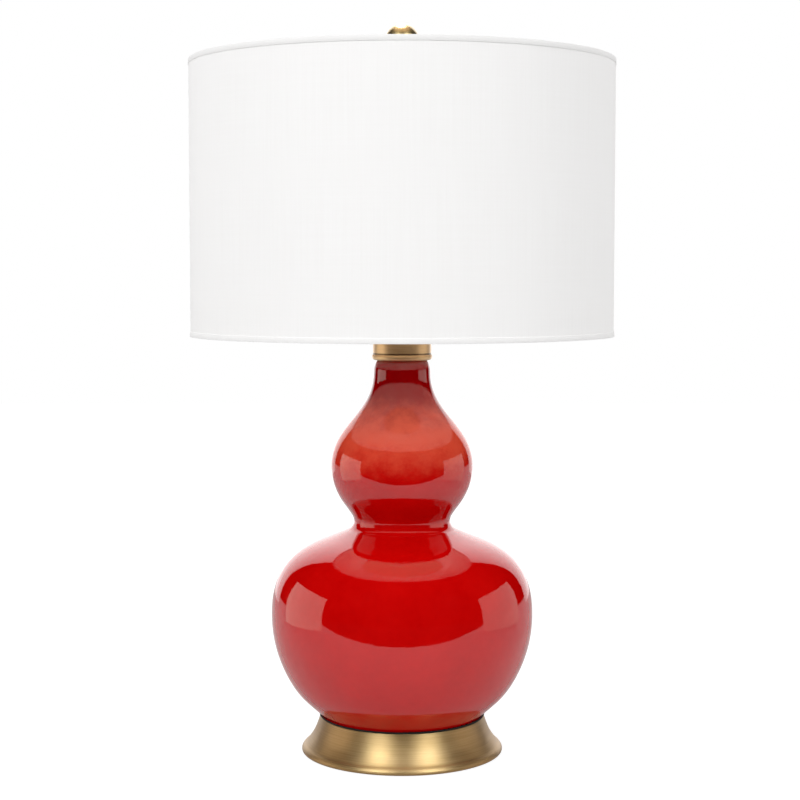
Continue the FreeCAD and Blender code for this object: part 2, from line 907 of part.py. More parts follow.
def finial_insert():
    """The threaded sleeve in the finial that runs on the harp's post."""
    bore = size.PostRadius + size.FitClearance
    return ring("finial_insert", bore, size.InsertRadius, finial_under,
                finial_under + size.InsertLength)


def finial_ball():
    """A turned brass ball on a neck and foot, bored for its sleeve."""
    bore = size.InsertRadius + size.FitClearance
    bore_top = finial_under + size.InsertLength + size.SeatClearance
    foot_top = finial_under + size.FinialFootHeight
    neck_bottom = foot_top + size.FinialTaper
    radius, neck = size.FinialRadius, size.FinialNeckRadius
    centre = finial_top - radius
    ball_bottom = centre - root(radius * radius - neck * neck)
    return turned(
        "finial_ball",
        [
            (bore, finial_under),
            (size.FinialFootRadius, finial_under),
            (size.FinialFootRadius, foot_top),
            (neck, neck_bottom),
            (neck, ball_bottom),
            (0, finial_top, radius, centre),
            (0, bore_top),
            (bore, bore_top),
        ],
    )


# ---------------------------------------------------------------- socket


def socket_cap():
    """The brass cup that screws onto the rod and carries the shell."""
    wall = size.CupWall
    hub_height = saddle_top + size.SocketHubHeight
    low = (cup_outer - size.CupRound, hub_height)
    side = (cup_outer, hub_height + size.CupRound)
    inner_low = (cup_outer - size.CupRound, cup_floor)
    inner_side = (shell_outer, hub_height + size.CupRound)
    cup = turned(
        "socket_cap",
        [
            (size.RodRadius, saddle_top),
            (size.SocketHubRadius, saddle_top),
            (size.SocketHubRadius, hub_height),
            low,
            bow(low, side, -size.CupRound * QUARTER_RISE),
            (cup_outer, saddle_top + size.CupHeight),
            (shell_outer, saddle_top + size.CupHeight),
            inner_side,
            bow(inner_side, inner_low, (size.CupRound - wall) * QUARTER_RISE),
            (size.RodRadius, cup_floor),
        ],
    )
    height = saddle_top + size.SocketHubHeight / 2
    return drill(cup, "XZ_Plane", size.SetScrewRadius, height)


def socket_set_screw():
    height = saddle_top + size.SocketHubHeight / 2
    end = size.RodRadius + size.SetScrewLength
    return rod_along("socket_set_screw", "Y", size.SetScrewRadius, size.RodRadius, end, height)


def socket_shell():
    shell = ring("socket_shell", liner_outer, shell_outer, shell_under, shell_top)
    return drill(shell, "XZ_Plane", stem_opening, switch_height, reverse=True)


def socket_liner():
    top = shell_top + size.LinerStandout
    liner = ring("socket_liner", liner_inner, liner_outer, shell_under, top)
    return drill(liner, "XZ_Plane", stem_opening, switch_height, reverse=True)


def socket_core():
    """The moulded block that holds the switch and its terminals."""
    flange_under = core_top - size.CoreFlangeThickness
    core = turned(
        "socket_core",
        [
            (0, cup_floor),
            (size.CoreRadius, cup_floor),
            (size.CoreRadius, flange_under),
            (liner_inner, flange_under),
            (liner_inner, core_top),
            (0, core_top),
        ],
    )
    drill(core, "XZ_Plane", stem_hole, switch_height, reverse=True)
    height = cup_floor + size.TerminalHeight
    return drill(core, "YZ_Plane", size.TerminalShankRadius, height, both=True)


def terminal_screws():
    height = cup_floor + size.TerminalHeight
    screws = []
    for name, side in (("left", -1), ("right", 1)):
        face = size.CoreRadius
        root_end = face - size.TerminalShankLength
        head_end = face + size.TerminalHeadThickness
        spans = ((size.TerminalShankRadius, root_end, face), (size.TerminalHeadRadius, face, head_end))
        bars = []
        for part, (radius, near, far) in zip(("shank", "head"), spans):
            start, end = (near, far) if side > 0 else (-far, -near)
            bars.append(rod_along(f"terminal_{name}_{part}", "X", radius, start, end, height))
        screws.append(fuse(f"terminal_{name}", bars))
    return group("terminal_screws", screws)


def screw_shell():
    """The threaded cup that takes the bulb, open round the contact."""
    floor = core_top + size.ThreadWall
    hole = size.ContactRadius + size.TipRadius / 2
    top = core_top + size.ThreadDepth
    return turned(
        "screw_shell",
        [
            (hole, core_top),
            (thread_outer, core_top),
            (thread_outer, top),
            (thread_inner, top),
            (thread_inner, floor),
            (hole, floor),
        ],
    )


def centre_contact():
    bevel = size.ContactHeight / 4
    return turned(
        "centre_contact",
        [
            (0, core_top),
            (size.ContactRadius, core_top),
            (size.ContactRadius, contact_top - bevel),
            (size.ContactRadius - bevel, contact_top),
            (0, contact_top),
        ],
    )


def switch_stem():
    start = -shell_outer - size.StemStandout
    end = -size.CoreRadius + size.StemInset
    return rod_along("switch_stem", "Y", size.StemRadius, start, end, switch_height)


def switch_knob():
    near = -shell_outer - size.KnobStandoff
    far = near - size.KnobLength
    grip = rod_along("knob_grip", "Y", size.KnobRadius, far, near, switch_height)
    stem_end = -shell_outer - size.StemStandout
    bore = rod_along("knob_bore", "Y", size.StemRadius, stem_end, near, switch_height)
    return cut("switch_knob", grip, bore)


# ---------------------------------------------------------------- bulb


def bulb_tip():
    """The solder contact under the bulb, with a short stem up into the insulator."""
    stem_top = tip_top + size.TipStemLength
    return turned(
        "bulb_tip",
        [
            (0, tip_under),
            (size.TipRadius, tip_under),
            (size.TipRadius, tip_top),
            (size.TipStemRadius, tip_top),
            (size.TipStemRadius, stem_top),
            (0, stem_top),
        ],
    )


def bulb_insulator():
    bore = size.TipStemRadius + size.FitClearance
    return turned(
        "bulb_insulator",
        [
            (bore, insulator_under),
            (size.TipRadius + size.TipThickness, insulator_under),
            (size.ThreadRadius - size.BulbCapWall, bulb_cap_under),
            (bore, bulb_cap_under),
        ],
    )


def bulb_cap():
    """The bulb's threaded cup, seated on the insulator's upper face."""
    floor = bulb_cap_under + size.BulbCapWall
    inner = size.ThreadRadius - size.BulbCapWall
    hole = size.TipStemRadius + size.FitClearance
    return turned(
        "bulb_cap",
        [
            (hole, bulb_cap_under),
            (size.ThreadRadius, bulb_cap_under),
            (size.ThreadRadius, bulb_cap_top),
            (inner, bulb_cap_top),
            (inner, floor),
            (hole, floor),
        ],
    )


def bulb_glass():
    """A blown globe, one wall thick, on a tapering neck."""
    wall = size.GlassWall
    slope, level = math.sin(BULB_CONE), math.cos(BULB_CONE)
    radius, neck = size.BulbRadius, size.ThreadRadius
    cone_rise = (radius * level - neck) / slope * level
    centre = glass_cone + cone_rise + radius * slope
    top = centre + radius
    middle = math.cos(math.pi / 4 - BULB_CONE / 2)
    middle_up = math.sin(math.pi / 4 - BULB_CONE / 2)
    inner = radius - wall
    return turned(
        "bulb_glass",
        [
            (neck - wall, bulb_cap_top),
            (neck, bulb_cap_top),
            (neck, glass_cone),
            (radius * level, glass_cone + cone_rise),
            (0, top, radius * middle, centre + radius * middle_up),
            (0, top - wall),
            (inner * level, centre - inner * slope, inner * middle, centre + inner * middle_up),
            (neck - wall, glass_cone),
        ],
    )


# ---------------------------------------------------------------- the lamp

pieces = [
    felt_pad(),
    base_plate(),
    base_skirt(),
    base_weight(),
    base_washer(),
    base_lock_nut(),
    base_gasket(),
    cord_bushing(),
    threaded_rod(),
    gourd_body(),
    neck_plug(),
    vase_cap(),
    cap_nut(),
    harp_saddle(),
    harp_wire(),
    ferrule("ferrule_left", -1),
    ferrule("ferrule_right", 1),
    harp_stud(),
    shade_fabric(),
    shade_liner(),
    hem("top_trim", shade_top, -1, 0),
    hem("bottom_trim", shade_bottom, 1, size.HemFlare),
    shade_spider(),
    bottom_ring(),
    finial_insert(),
    finial_ball(),
    socket_cap(),
    socket_set_screw(),
    socket_shell(),
    socket_liner(),
    socket_core(),
    terminal_screws(),
    screw_shell(),
    centre_contact(),
    switch_stem(),
    switch_knob(),
    bulb_tip(),
    bulb_insulator(),
    bulb_cap(),
    bulb_glass(),
]
doc.recompute()

for feature in doc.Objects:
    if "Invalid" in feature.State or "Error" in feature.State:
        raise ValueError(f"{feature.Label} failed: {feature.State}")
for piece in pieces:
    if piece.Shape.isNull() or not piece.Shape.isValid():
        raise ValueError(f"{piece.Label} has no valid shape")

os.makedirs("parts", exist_ok=True)
for piece in pieces:
    piece.Shape.exportStep(f"parts/{piece.Label}.step")
    print(f"{piece.Label:18s} {piece.Shape.Volume:12.1f} mm3")
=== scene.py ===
import math

import bpy
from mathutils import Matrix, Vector


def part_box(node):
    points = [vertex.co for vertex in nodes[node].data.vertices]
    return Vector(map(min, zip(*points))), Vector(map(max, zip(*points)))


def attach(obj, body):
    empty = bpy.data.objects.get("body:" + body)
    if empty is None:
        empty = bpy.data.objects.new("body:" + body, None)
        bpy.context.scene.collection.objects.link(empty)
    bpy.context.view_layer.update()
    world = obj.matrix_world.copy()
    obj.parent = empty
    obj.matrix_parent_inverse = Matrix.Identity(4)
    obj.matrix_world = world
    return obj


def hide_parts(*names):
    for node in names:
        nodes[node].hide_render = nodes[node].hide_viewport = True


# A table lamp: red double-gourd body on a spun brass base, under a white drum shade.
# Metres, +Z up, the floor at z = 0, the front towards -Y.

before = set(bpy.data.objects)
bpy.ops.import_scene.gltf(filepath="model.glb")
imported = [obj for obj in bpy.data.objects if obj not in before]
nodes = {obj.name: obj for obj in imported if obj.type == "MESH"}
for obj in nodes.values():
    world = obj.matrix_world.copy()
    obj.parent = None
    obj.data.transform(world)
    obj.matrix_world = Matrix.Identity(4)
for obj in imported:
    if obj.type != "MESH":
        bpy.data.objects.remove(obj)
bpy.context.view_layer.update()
scene = bpy.context.scene
scene.view_settings.view_transform = "Standard"

# ------------------------------------------------------------------ camera
# A long lens a little above the waist of the lamp, tipped down by four degrees.
LENS_MM = 80.02
CAMERA_PLACE = (-0.002, -1.7201, 0.46986)
CAMERA_TIP = 0.073  # radians below level
SENSOR_MM = 36
SIGHT_RANGE = 20

bpy.ops.object.camera_add(
    location=CAMERA_PLACE, rotation=(math.pi / 2 - CAMERA_TIP, 0, 0)
)
camera = bpy.context.object
camera.name = "camera"
camera.data.sensor_width = SENSOR_MM
camera.data.lens = LENS_MM
camera.data.clip_end = SIGHT_RANGE
scene.camera = camera

# ------------------------------------------------------------------ studio
# A white table with a near edge, two low white boards beside the lamp, a white backdrop and
# ceiling, two lamps high in front, three that light only brass, and a room dark in gloss.
STUDIO_WHITE = (1.0, 1.0, 1.0, 1.0)
TABLE_EDGE = 0.50  # from the lamp's axis to the table's near edge
FLOOR_SPAN = 9.0
FLOOR_DROP = -0.0002  # clear of the felt
BOARD_DISTANCE = 0.80
BOARD_NEAR, BOARD_FAR = -0.32, 0.37
BOARD_HEIGHT = 0.47
LEFT_BOARD_GLOW, RIGHT_BOARD_GLOW = 0.85, 0.42
BOARD_WHITE = (1.0, 0.90, 0.74, 1.0)
BACKDROP_DISTANCE = 1.4
BACKDROP_SIZE = (2.7, 2.6)
BACKDROP_GLOW, BACKDROP_PAINT = 1.1, 0.8
BACKDROP_FADE = (0.35, 1.35, 0.25)  # full as far as, least from, and least share
BOARD_PAINT = 0.6
CAMERA_GLOW, CAMERA_PAINT = 0.88, 0.24  # how white the camera sees the floor
TABLE_PAINT, FLOOR_PAINT = 0.66, 0.01  # what everything else sees of it
ROOM_GLOW = 0.0  # what gloss sees of the dark room
ROOM_LIGHT = 0.88
STRIP_REACH, STRIP_RISE = 1.3, 42  # distance, and degrees above level, from the base
LEFT_SWING, RIGHT_SWING = 32, 37  # degrees aside
STRIP_SIZE = (0.50, 0.80)
STRIP_WATTS = 13.5
STRIP_WHITE = (0.82, 0.94, 1.0)
CEILING_HEIGHT, CEILING_RADIUS, CEILING_GLOW = 1.6, 0.66, 0.7
CEILING_WHITE = (1.0, 0.76, 0.54, 1.0)
CEILING_SIDES = 64
BULB_WARMTH = (1.0, 0.72, 0.48)
BULB_PLACE, BULB_WATTS, BULB_SOFTNESS = (0, 0, 0.62), 0.42, 0.03
LAMP_AIM, STRIP_AIM, FINIAL_AIM = (0, 0, 0.4), (0, 0, 0.02), (0, 0, 0.69)
KEY_PLACE, KEY_WIDTH, KEY_WATTS = (-1.6, -2.2, 1.9), 1.2, 36
FILL_PLACE, FILL_WIDTH, FILL_WATTS = (1.8, -2.0, 1.2), 1.4, 18
TOP_PLACE, TOP_WIDTH, TOP_WATTS = (-0.05, 0.35, 1.5), 0.35, 8.5


def clear_selection():
    if bpy.context.object and bpy.context.object.mode != "OBJECT":
        bpy.ops.object.mode_set(mode="OBJECT")
    bpy.ops.object.select_all(action="DESELECT")


def link(tree, source, target):
    tree.links.new(source, target)


def settle(piece):
    """Move a piece's place into its mesh, so that its object sits at the origin."""
    clear_selection()
    piece.select_set(True)
    bpy.context.view_layer.objects.active = piece
    bpy.ops.object.transform_apply(location=True, rotation=True, scale=True)
    piece.select_set(False)


def stage_plane(name, place, turn, scale):
    clear_selection()
    bpy.ops.mesh.primitive_plane_add(size=1, location=place, rotation=turn)
    plane = bpy.context.object
    plane.name = name
    plane.scale = (scale[0], scale[1], 1)
    settle(plane)
    return plane


def glow_material(name, glow, paint, colour=STUDIO_WHITE, fade=None):
    """A stage surface: plain paint, with a glow that only gloss and glass see."""
    material = bpy.data.materials.new(name)
    material.use_nodes = True
    tree = material.node_tree
    tree.nodes.clear()
    out = tree.nodes.new("ShaderNodeOutputMaterial")
    path = tree.nodes.new("ShaderNodeLightPath")
    mirrored = tree.nodes.new("ShaderNodeMath")
    mirrored.operation = "MAXIMUM"
    link(tree, path.outputs["Is Glossy Ray"], mirrored.inputs[0])
    link(tree, path.outputs["Is Transmission Ray"], mirrored.inputs[1])
    strength = tree.nodes.new("ShaderNodeMath")
    strength.operation = "MULTIPLY"
    strength.inputs[1].default_value = glow
    link(tree, mirrored.outputs[0], strength.inputs[0])
    power = strength.outputs[0]
    if fade:
        place = tree.nodes.new("ShaderNodeTexCoord")
        parts = tree.nodes.new("ShaderNodeSeparateXYZ")
        link(tree, place.outputs["Object"], parts.inputs[0])
        aside = tree.nodes.new("ShaderNodeMath")
        aside.operation = "ABSOLUTE"
        link(tree, parts.outputs["X"], aside.inputs[0])
        share = tree.nodes.new("ShaderNodeMapRange")
        link(tree, aside.outputs[0], share.inputs[0])
        for socket, value in enumerate((fade[0], fade[1], 1.0, fade[2]), start=1):
            share.inputs[socket].default_value = value
        faded = tree.nodes.new("ShaderNodeMath")
        faded.operation = "MULTIPLY"
        link(tree, power, faded.inputs[0])
        link(tree, share.outputs[0], faded.inputs[1])
        power = faded.outputs[0]
    light = tree.nodes.new("ShaderNodeEmission")
    light.inputs["Color"].default_value = colour
    link(tree, power, light.inputs["Strength"])
    matt = tree.nodes.new("ShaderNodeBsdfDiffuse")
    matt.inputs["Color"].default_value = (paint, paint, paint, 1)
    both = tree.nodes.new("ShaderNodeAddShader")
    link(tree, light.outputs[0], both.inputs[0])
    link(tree, matt.outputs[0], both.inputs[1])
    link(tree, both.outputs[0], out.inputs["Surface"])
    return material


def table_material(name, paint_colour):
    """A stage surface that glows white for the camera alone, and is plain paint otherwise."""
    material = bpy.data.materials.new(name)
    material.use_nodes = True
    tree = material.node_tree
    tree.nodes.clear()
    out = tree.nodes.new("ShaderNodeOutputMaterial")
    glow = tree.nodes.new("ShaderNodeEmission")
    glow.inputs["Color"].default_value = STUDIO_WHITE
    glow.inputs["Strength"].default_value = CAMERA_GLOW
    paints = []
    for shade in (paint_colour, CAMERA_PAINT):
        paint = tree.nodes.new("ShaderNodeBsdfDiffuse")
        paint.inputs["Color"].default_value = (shade, shade, shade, 1)
        paints.append(paint)
    both = tree.nodes.new("ShaderNodeAddShader")
    link(tree, glow.outputs[0], both.inputs[0])
    link(tree, paints[1].outputs[0], both.inputs[1])
    path = tree.nodes.new("ShaderNodeLightPath")
    choice = tree.nodes.new("ShaderNodeMixShader")
    link(tree, path.outputs["Is Camera Ray"], choice.inputs[0])
    link(tree, paints[0].outputs[0], choice.inputs[1])
    link(tree, both.outputs[0], choice.inputs[2])
    link(tree, choice.outputs[0], out.inputs["Surface"])
    return material


table = stage_plane(
    "table", (0, FLOOR_SPAN / 4 - TABLE_EDGE / 2, FLOOR_DROP), (0, 0, 0),
    (FLOOR_SPAN, FLOOR_SPAN / 2 + TABLE_EDGE),
)
table.data.materials.append(table_material("table_white", TABLE_PAINT))
near_floor = stage_plane(
    "near_floor", (0, -TABLE_EDGE - FLOOR_SPAN / 4, FLOOR_DROP), (0, 0, 0),
    (FLOOR_SPAN, FLOOR_SPAN / 2),
)
near_floor.data.materials.append(table_material("near_floor_white", FLOOR_PAINT))
for side, board_name, board_glow in (
    (-1, "left_board", LEFT_BOARD_GLOW), (1, "right_board", RIGHT_BOARD_GLOW)
):
    board = stage_plane(
        board_name,
        (side * BOARD_DISTANCE, (BOARD_NEAR + BOARD_FAR) / 2, BOARD_HEIGHT / 2),
        (0, math.pi / 2, 0),
        (BOARD_HEIGHT, BOARD_FAR - BOARD_NEAR),
    )
    board.data.materials.append(
        glow_material(f"{board_name}_white", board_glow, BOARD_PAINT, BOARD_WHITE)
    )
    board.visible_camera = False
    board.visible_shadow = False
backdrop = stage_plane(
    "backdrop", (0, BACKDROP_DISTANCE, BACKDROP_SIZE[1] / 2), (math.pi / 2, 0, 0), BACKDROP_SIZE
)
backdrop.data.materials.append(
    glow_material("backdrop_white", BACKDROP_GLOW, BACKDROP_PAINT, fade=BACKDROP_FADE)
)
backdrop.visible_camera = False
backdrop.visible_shadow = False

world = bpy.data.worlds.new("room")
scene.world = world
world.use_nodes = True
tree = world.node_tree
tree.nodes.clear()
out = tree.nodes.new("ShaderNodeOutputWorld")
path = tree.nodes.new("ShaderNodeLightPath")
light = tree.nodes.new("ShaderNodeMix")
light.data_type = "FLOAT"
light.inputs["A"].default_value = ROOM_LIGHT
light.inputs["B"].default_value = ROOM_GLOW
link(tree, path.outputs["Is Glossy Ray"], light.inputs["Factor"])
seen = tree.nodes.new("ShaderNodeMath")
seen.operation = "MAXIMUM"
link(tree, path.outputs["Is Camera Ray"], seen.inputs[0])
link(tree, path.outputs["Is Transmission Ray"], seen.inputs[1])
strength = tree.nodes.new("ShaderNodeMix")
strength.data_type = "FLOAT"
strength.inputs["B"].default_value = 1.0
link(tree, seen.outputs[0], strength.inputs["Factor"])
link(tree, light.outputs["Result"], strength.inputs["A"])
background = tree.nodes.new("ShaderNodeBackground")
background.inputs["Color"].default_value = STUDIO_WHITE
link(tree, strength.outputs["Result"], background.inputs["Strength"])
link(tree, background.outputs[0], out.inputs["Surface"])


def studio_lamp(name, place, aim, width, watts, seen_in_gloss):
    bpy.ops.object.light_add(type="AREA", location=place)
    lamp = bpy.context.object
    lamp.name = name
    lamp.data.shape = "SQUARE"
    lamp.data.size = width
    lamp.data.energy = watts
    lamp.rotation_euler = (Vector(aim) - Vector(place)).to_track_quat("-Z", "Y").to_euler()
    lamp.visible_glossy = seen_in_gloss
    lamp.visible_camera = False
    return lamp


studio_lamp("key", KEY_PLACE, LAMP_AIM, KEY_WIDTH, KEY_WATTS, False)
studio_lamp("fill", FILL_PLACE, LAMP_AIM, FILL_WIDTH, FILL_WATTS, False)
# Two tall strip lamps that only the brass takes up, as two bright bands.
brass_pieces = bpy.data.collections.new("lit_by_strips")
for name in ("vase_cap", "finial_ball", "harp_wire"):
    brass_pieces.objects.link(nodes[name])
for side, strip_name, swing in (
    (-1, "left_strip", LEFT_SWING), (1, "right_strip", RIGHT_SWING)
):
    level = STRIP_REACH * math.cos(math.radians(STRIP_RISE))
    strip = studio_lamp(
        strip_name,
        (
            side * level * math.sin(math.radians(swing)),
            -level * math.cos(math.radians(swing)),
            STRIP_REACH * math.sin(math.radians(STRIP_RISE)),
        ),
        STRIP_AIM, STRIP_SIZE[0], STRIP_WATTS, True,
    )
    strip.data.shape = "RECTANGLE"
    strip.data.size_y = STRIP_SIZE[1]
    strip.data.color = STRIP_WHITE
    strip.visible_diffuse = False
    strip.light_linking.receiver_collection = brass_pieces

clear_selection()
bpy.ops.mesh.primitive_circle_add(
    vertices=CEILING_SIDES, radius=CEILING_RADIUS, fill_type="NGON", location=(0, 0, CEILING_HEIGHT)
)
ceiling = bpy.context.object
ceiling.name = "ceiling"
settle(ceiling)
ceiling.data.materials.append(
    glow_material("ceiling_white", CEILING_GLOW, 0, CEILING_WHITE)
)
top_lamp = studio_lamp("finial_lamp", TOP_PLACE, FINIAL_AIM, TOP_WIDTH, TOP_WATTS, True)
top_lamp.visible_diffuse = False
top_lamp.light_linking.receiver_collection = brass_pieces
ceiling.visible_camera = False
ceiling.visible_shadow = False
ceiling.visible_diffuse = False

bpy.ops.object.light_add(type="POINT", location=BULB_PLACE)
bulb_light = bpy.context.object
bulb_light.name = "bulb_light"
bulb_light.data.energy = BULB_WATTS
bulb_light.data.color = BULB_WARMTH
bulb_light.data.shadow_soft_size = BULB_SOFTNESS
bulb_light.visible_glossy = False
bulb_light.visible_camera = False

# ------------------------------------------------------------------ base
# A spun brass skirt closed below by a steel plate with green felt glued on, around a cast
# iron weight. A rubber gasket on the deck carries the gourd; a bushing is at the rear.


def node(tree, kind, inputs=None, **settings):
    made = tree.nodes.new(f"ShaderNode{kind}")
    for setting, value in settings.items():
        setattr(made, setting, value)
    for socket, value in (inputs or {}).items():
        if isinstance(value, bpy.types.NodeSocket):
            link(tree, value, made.inputs[socket])
        else:
            made.inputs[socket].default_value = value
    return made


def sums(tree, operation, *values):
    """One Math node, fed by sockets or numbers."""
    return node(tree, "Math", dict(enumerate(values)), operation=operation).outputs[0]


def effect_group(name, **inputs):
    """A node group that puts out a Mask and a Height, with the inputs named."""
    group = bpy.data.node_groups.new(name, "ShaderNodeTree")
    for socket, value in inputs.items():
        made = group.interface.new_socket(socket, in_out="INPUT", socket_type="NodeSocketFloat")
        made.default_value = value
    for socket in ("Mask", "Height"):
        group.interface.new_socket(socket, in_out="OUTPUT", socket_type="NodeSocketFloat")
    return group, group.nodes.new("NodeGroupInput").outputs, group.nodes.new("NodeGroupOutput")


def around_axis(tree):
    """Place on a turned piece: direction from the axis, radius and height."""
    place = node(tree, "TexCoord").outputs["Object"]
    flat = node(tree, "VectorMath", {0: place, 1: (1, 1, 0)}, operation="MULTIPLY").outputs[0]
    radius = node(tree, "VectorMath", {0: flat}, operation="LENGTH").outputs["Value"]
    direction = node(tree, "VectorMath", {0: flat}, operation="NORMALIZE").outputs[0]
    height = node(tree, "SeparateXYZ", {0: place}).outputs["Z"]
    return place, direction, radius, height


WELD = 1e-5  # points nearer than this are one
FLAT = math.radians(0.2)  # faces that turn less than this are one
CLOTH_EDGE, CLOTH_SMOOTH = math.radians(40), math.radians(50)
SPUN_SMOOTH = math.radians(35)
ROUNDING_STEPS, OUTLINE_STEPS = 2, 8
MASK_FROM, MASK_TO = 0.3, 0.7  # the part of a noise that counts
PATINA_SCALE, BAND_WANDER_SCALE = 38.0, 55.0


def ring_marks_group():
    """Fine rings left by the lathe, over a slow drift of patina."""
    tree, inputs, out = effect_group("ring_marks", Rings=900.0, Spread=1.6, Patina=0.35)
    place, direction, radius, height = around_axis(tree)
    spread = node(
        tree, "VectorMath", {0: direction, "Scale": inputs["Spread"]}, operation="SCALE"
    ).outputs[0]
    lift = node(
        tree, "CombineXYZ", {2: sums(tree, "MULTIPLY", height, inputs["Rings"])}
    ).outputs[0]
    where = node(tree, "VectorMath", {0: spread, 1: lift}, operation="ADD").outputs[0]
    rings = node(
        tree, "TexNoise",
        {"Vector": where, "W": sums(tree, "MULTIPLY", radius, inputs["Rings"]),
         "Scale": 1.0, "Detail": 2.0, "Roughness": 0.65},
        noise_dimensions="4D",
    ).outputs[0]
    drift = node(
        tree, "TexNoise", {"Vector": place, "Scale": PATINA_SCALE, "Detail": 3.0, "Roughness": 0.6}
    ).outputs[0]
    mask = node(
        tree, "Mix", {"Factor": inputs["Patina"], "A": rings, "B": drift}
    ).outputs["Result"]
    link(tree, mask, out.inputs["Mask"])
    link(tree, rings, out.inputs["Height"])
    return tree


def mottle_group():
    """Soft blotches with a fine grain over them, for cast, moulded and glazed pieces."""
    tree, inputs, out = effect_group("mottle", Blotches=40.0, Grain=900.0, Fineness=0.4)
    place = node(tree, "TexCoord").outputs["Object"]
    blotches = node(
        tree, "TexNoise",
        {"Vector": place, "Scale": inputs["Blotches"], "Detail": 4.0, "Roughness": 0.6},
    ).outputs[0]
    grain = node(
        tree, "TexNoise", {"Vector": place, "Scale": inputs["Grain"], "Detail": 2.0}
    ).outputs[0]
    mask = node(
        tree, "Mix", {"Factor": inputs["Fineness"], "A": blotches, "B": grain}
    ).outputs["Result"]
    link(tree, mask, out.inputs["Mask"])
    link(tree, grain, out.inputs["Height"])
    return tree


RING_MARKS = ring_marks_group()
MOTTLE = mottle_group()


def finish(name, effect, dark, light, roughness, bump, effect_values=None, **sockets):
    """A material that runs from dark to light, and between two roughnesses, by a mask."""
    material = bpy.data.materials.new(name)
    material.use_nodes = True
    tree = material.node_tree
    shader = tree.nodes["Principled BSDF"]
    for socket, value in sockets.items():
        shader.inputs[socket.replace("_", " ")].default_value = value
    group = node(tree, "Group", node_tree=effect)
    for socket, value in (effect_values or {}).items():
        group.inputs[socket].default_value = value
    spread = node(
        tree, "MapRange", {0: group.outputs["Mask"], 1: MASK_FROM, 2: MASK_TO, 3: 0.0, 4: 1.0}
    ).outputs[0]
    colour = node(
        tree, "Mix",
        {"Factor": spread, 6: (*dark, 1), 7: (*light, 1)}, data_type="RGBA",
    ).outputs[2]
    link(tree, colour, shader.inputs["Base Color"])
    rough = node(
        tree, "MapRange", {0: spread, 1: 0.0, 2: 1.0, 3: roughness[0], 4: roughness[1]}
    ).outputs[0]
    link(tree, rough, shader.inputs["Roughness"])
    relief = node(
        tree, "Bump",
        {"Strength": bump[0], "Distance": bump[1], "Height": group.outputs["Height"]},
    ).outputs[0]
    link(tree, relief, shader.inputs["Normal"])
    return material


def wear(material, *names):
    for name in names:
        nodes[name].data.materials.clear()
        nodes[name].data.materials.append(material)


def softened_copy(name, source, round_width, body, material):
    """A piece that stands for a CAD node, with its edges rounded as cloth's are."""
    clear_selection()
    piece = bpy.data.objects.new(name, nodes[source].data.copy())
    scene.collection.objects.link(piece)
    piece.select_set(True)
    bpy.context.view_layer.objects.active = piece
    bpy.ops.mesh.customdata_custom_splitnormals_clear()
    bpy.ops.object.mode_set(mode="EDIT")
    bpy.ops.mesh.select_all(action="SELECT")
    bpy.ops.mesh.remove_doubles(threshold=WELD)
    bpy.ops.mesh.dissolve_limited(angle_limit=FLAT)
    bpy.ops.object.mode_set(mode="OBJECT")
    rounding = piece.modifiers.new("rounding", "BEVEL")
    rounding.width = round_width
    rounding.segments = ROUNDING_STEPS
    rounding.limit_method = "ANGLE"
    rounding.angle_limit = CLOTH_EDGE
    bpy.ops.object.modifier_apply(modifier=rounding.name)
    bpy.ops.object.shade_smooth_by_angle(angle=CLOTH_SMOOTH)
    piece.data.materials.clear()
    piece.data.materials.append(material)
    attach(piece, body)
    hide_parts(source)
    return piece


def spun_shell(name, outline, steps, material):
    """A smooth outline of (radius, height) in millimetres, spun round the stand's axis."""
    clear_selection()
    bpy.ops.curve.primitive_bezier_curve_add(location=(0, 0, 0))
    line = bpy.context.object
    line.name = name
    spline = line.data.splines[0]
    spline.bezier_points.add(len(outline) - len(spline.bezier_points))
    for point, (radius, height) in zip(spline.bezier_points, outline):
        point.co = (radius / 1000, 0, height / 1000)
        point.handle_left_type = point.handle_right_type = "AUTO"
    line.data.resolution_u = OUTLINE_STEPS
    bpy.ops.object.convert(target="MESH")
    shell = bpy.context.object
    bpy.ops.object.mode_set(mode="EDIT")
    bpy.ops.mesh.select_all(action="SELECT")
    bpy.ops.mesh.spin(
        steps=steps, angle=2 * math.pi, center=(0, 0, 0), axis=(0, 0, 1), use_auto_merge=True
    )
    bpy.ops.mesh.select_all(action="SELECT")
    bpy.ops.mesh.remove_doubles(threshold=WELD)
    bpy.ops.mesh.normals_make_consistent(inside=False)
    bpy.ops.object.mode_set(mode="OBJECT")
    bpy.ops.object.shade_smooth_by_angle(angle=SPUN_SMOOTH)
    shell.data.materials.append(material)
    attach(shell, "stand")
    return shell


spun_brass = finish(
    "antique_spun_brass", RING_MARKS, (0.34, 0.20, 0.070), (0.47, 0.30, 0.125), (0.42, 0.52),
    (0.16, 0.0001), {"Rings": 1000.0, "Patina": 0.20}, Metallic=1.0, Anisotropic=0.6,
    Anisotropic_Rotation=0.25, Coat_Weight=0.4, Coat_Roughness=0.35, Coat_IOR=1.5,
)
SKIRT_STEPS = 192
SKIRT_OUTLINE = (
    (95.0, 0.62), (96.6, 0.60), (97.8, 1.4), (98.1, 2.9), (97.3, 4.8), (93.4, 8.6),
    (90.1, 12.8), (87.2, 17.2), (84.8, 22.0), (82.2, 28.6), (80.2, 34.4), (79.9, 35.2),
    (79.4, 35.5), (78.8, 35.5), (78.4, 35.2), (78.4, 33.3), (77.9, 33.0), (70.0, 33.0),
    (40.0, 33.0), (5.2, 33.0),
)
skirt = spun_shell("spun_skirt", SKIRT_OUTLINE, SKIRT_STEPS, spun_brass)
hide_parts("base_skirt")
brass_pieces.objects.link(skirt)
